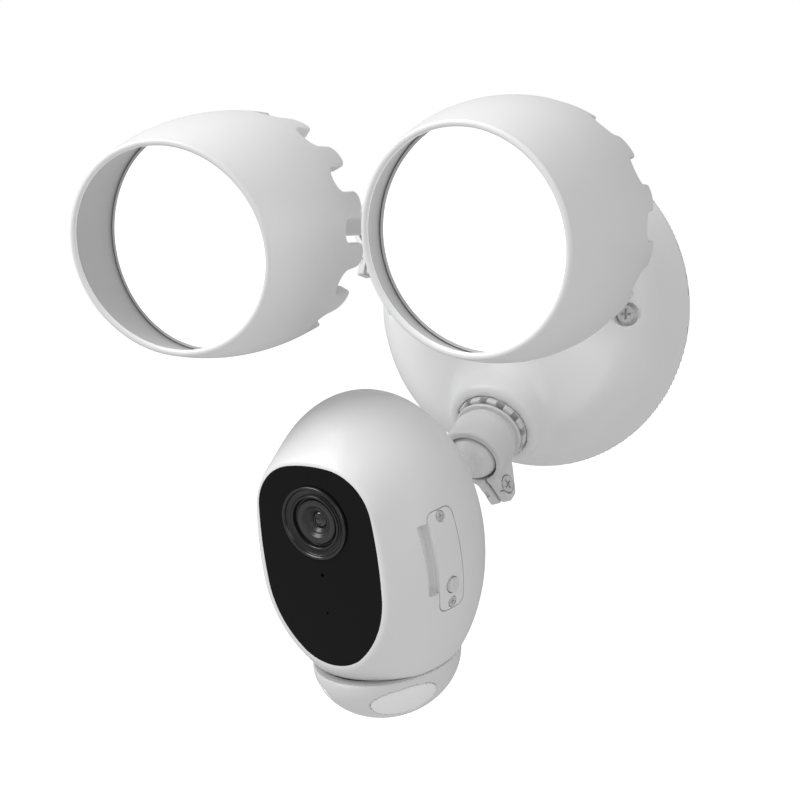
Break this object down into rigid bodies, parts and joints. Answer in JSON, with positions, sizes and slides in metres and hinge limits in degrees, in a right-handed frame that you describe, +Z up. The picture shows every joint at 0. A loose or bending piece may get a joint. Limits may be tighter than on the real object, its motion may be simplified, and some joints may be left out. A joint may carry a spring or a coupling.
{
  "type": "floodlight security camera",
  "caption": "Wall-mounted security camera with floodlights: round base, ball-jointed arms, round lamp heads with milky diffusers, and an egg-shaped camera head above a motion sensor bowl.",
  "frame": {"origin": "middle of the wall face of the round base", "axes": "+Y into the wall, -Y towards the viewer, +X right as seen from the front, +Z up"},
  "size_m": [0.2063, 0.2035, 0.2329],
  "materials": {
    "white_shell": "smooth, half gloss",
    "white_arm": "smooth, half gloss",
    "white_metal": "white enamel",
    "diffuser": "milky, lit",
    "reflector": "bright white",
    "board_white": "white mask",
    "seat_plastic": "satin",
    "black_panel": "high gloss",
    "black_ring": "satin",
    "black_barrel": "matte",
    "lens_glass": "coated",
    "milky": "milky",
    "milky_window": "milky, ribbed",
    "button_grey": "satin",
    "rubber": "matte",
    "foam": "foam",
    "bracket_steel": "plated",
    "screw_steel": "plated",
    "board_green": "solder mask",
    "board_parts": "moulded"
  },
  "bodies": {
    "wall_base": {"base_housing": "white_shell", "wall_gasket": "foam", "mounting_bracket": "bracket_steel", "cable_grommet": "rubber", "housing_screws": "screw_steel", "driver_board": "board_green", "driver_parts": "board_parts", "terminal_block": "board_parts", "lock_rings": "white_shell"},
    "left_lamp_swivel": {"left_lamp_arm": "white_arm", "left_lamp_clamp_screw": "screw_steel", "left_lamp_clamp_nut": "screw_steel"},
    "left_lamp_seat": {"left_lamp_ball_seat": "seat_plastic"},
    "right_lamp_swivel": {"right_lamp_arm": "white_arm", "right_lamp_clamp_screw": "screw_steel", "right_lamp_clamp_nut": "screw_steel"},
    "right_lamp_seat": {"right_lamp_ball_seat": "seat_plastic"},
    "camera_swivel": {"camera_arm": "white_arm", "camera_clamp_screw": "screw_steel", "camera_clamp_nut": "screw_steel"},
    "camera_seat": {"camera_ball_seat": "seat_plastic"},
    "left_lamp": {"left_lamp_ball_stud": "white_arm", "left_lamp_shell": "white_shell", "left_lamp_diffuser": "diffuser", "left_lamp_lens_seal": "rubber", "left_lamp_reflector": "reflector", "left_lamp_led_board": "board_white", "left_lamp_heat_sink": "white_metal", "left_lamp_rear_cap": "white_shell"},
    "right_lamp": {"right_lamp_ball_stud": "white_arm", "right_lamp_shell": "white_shell", "right_lamp_diffuser": "diffuser", "right_lamp_lens_seal": "rubber", "right_lamp_reflector": "reflector", "right_lamp_led_board": "board_white", "right_lamp_heat_sink": "white_metal", "right_lamp_rear_cap": "white_shell"},
    "camera_head": {"camera_ball_stud": "white_arm", "camera_housing": "white_shell", "face_panel": "black_panel", "lens_ring": "black_ring", "lens_barrel": "black_barrel", "lens_glass": "lens_glass", "sensor_board": "board_green", "microphone": "board_parts", "main_board": "board_green", "speaker": "board_parts", "card_slot": "bracket_steel", "card_cover": "white_shell", "card_cover_screws": "screw_steel", "button_spring": "rubber", "pir_bowl": "milky", "pir_windows": "milky_window", "bowl_seal": "rubber", "pir_board": "board_green", "pir_sensor": "bracket_steel"},
    "button": {"reset_button": "button_grey"}
  },
  "joints": [
    {"name": "left_lamp_swivel", "type": "hinge", "parent": "wall_base", "child": "left_lamp_swivel", "pos_m": [-0.04359, -0.0587, 0.03658], "axis": [-0.383, -0.866, 0.3214], "range_deg": [-30, 15]},
    {"name": "left_lamp_pan", "type": "hinge", "parent": "left_lamp_swivel", "child": "left_lamp_seat", "pos_m": [-0.04359, -0.0587, 0.03658], "axis": [0, 0, 1], "range_deg": [-35, 6]},
    {"name": "left_lamp_tilt", "type": "hinge", "parent": "left_lamp_seat", "child": "left_lamp", "pos_m": [-0.04359, -0.0587, 0.03658], "axis": [0.989, -0.1478, 0], "range_deg": [-30, 8]},
    {"name": "right_lamp_swivel", "type": "hinge", "parent": "wall_base", "child": "right_lamp_swivel", "pos_m": [0.04359, -0.0587, 0.03658], "axis": [0.383, -0.866, 0.3214], "range_deg": [-15, 30]},
    {"name": "right_lamp_pan", "type": "hinge", "parent": "right_lamp_swivel", "child": "right_lamp_seat", "pos_m": [0.04359, -0.0587, 0.03658], "axis": [0, 0, 1], "range_deg": [-6, 35]},
    {"name": "right_lamp_tilt", "type": "hinge", "parent": "right_lamp_seat", "child": "right_lamp", "pos_m": [0.04359, -0.0587, 0.03658], "axis": [0.9781, 0.2079, 0], "range_deg": [-30, 8]},
    {"name": "camera_swivel", "type": "hinge", "parent": "wall_base", "child": "camera_swivel", "pos_m": [0, -0.0587, -0.0569], "axis": [0, -0.866, -0.5], "range_deg": [-30, 30]},
    {"name": "camera_pan", "type": "hinge", "parent": "camera_swivel", "child": "camera_seat", "pos_m": [0, -0.0587, -0.0569], "axis": [0, 0, 1], "range_deg": [-25, 30]},
    {"name": "camera_tilt", "type": "hinge", "parent": "camera_seat", "child": "camera_head", "pos_m": [0, -0.0587, -0.0569], "axis": [0.9962, -0.0872, 0], "range_deg": [-8, 30]},
    {"name": "reset_button", "type": "slide", "parent": "camera_head", "child": "button", "axis": [-0.9962, 0.0872, 0], "range_m": [0, 0.0008], "stiffness_N_per_m": 1500, "springref_m": -0.0003, "deforming": ["button_spring"]}
  ]
}
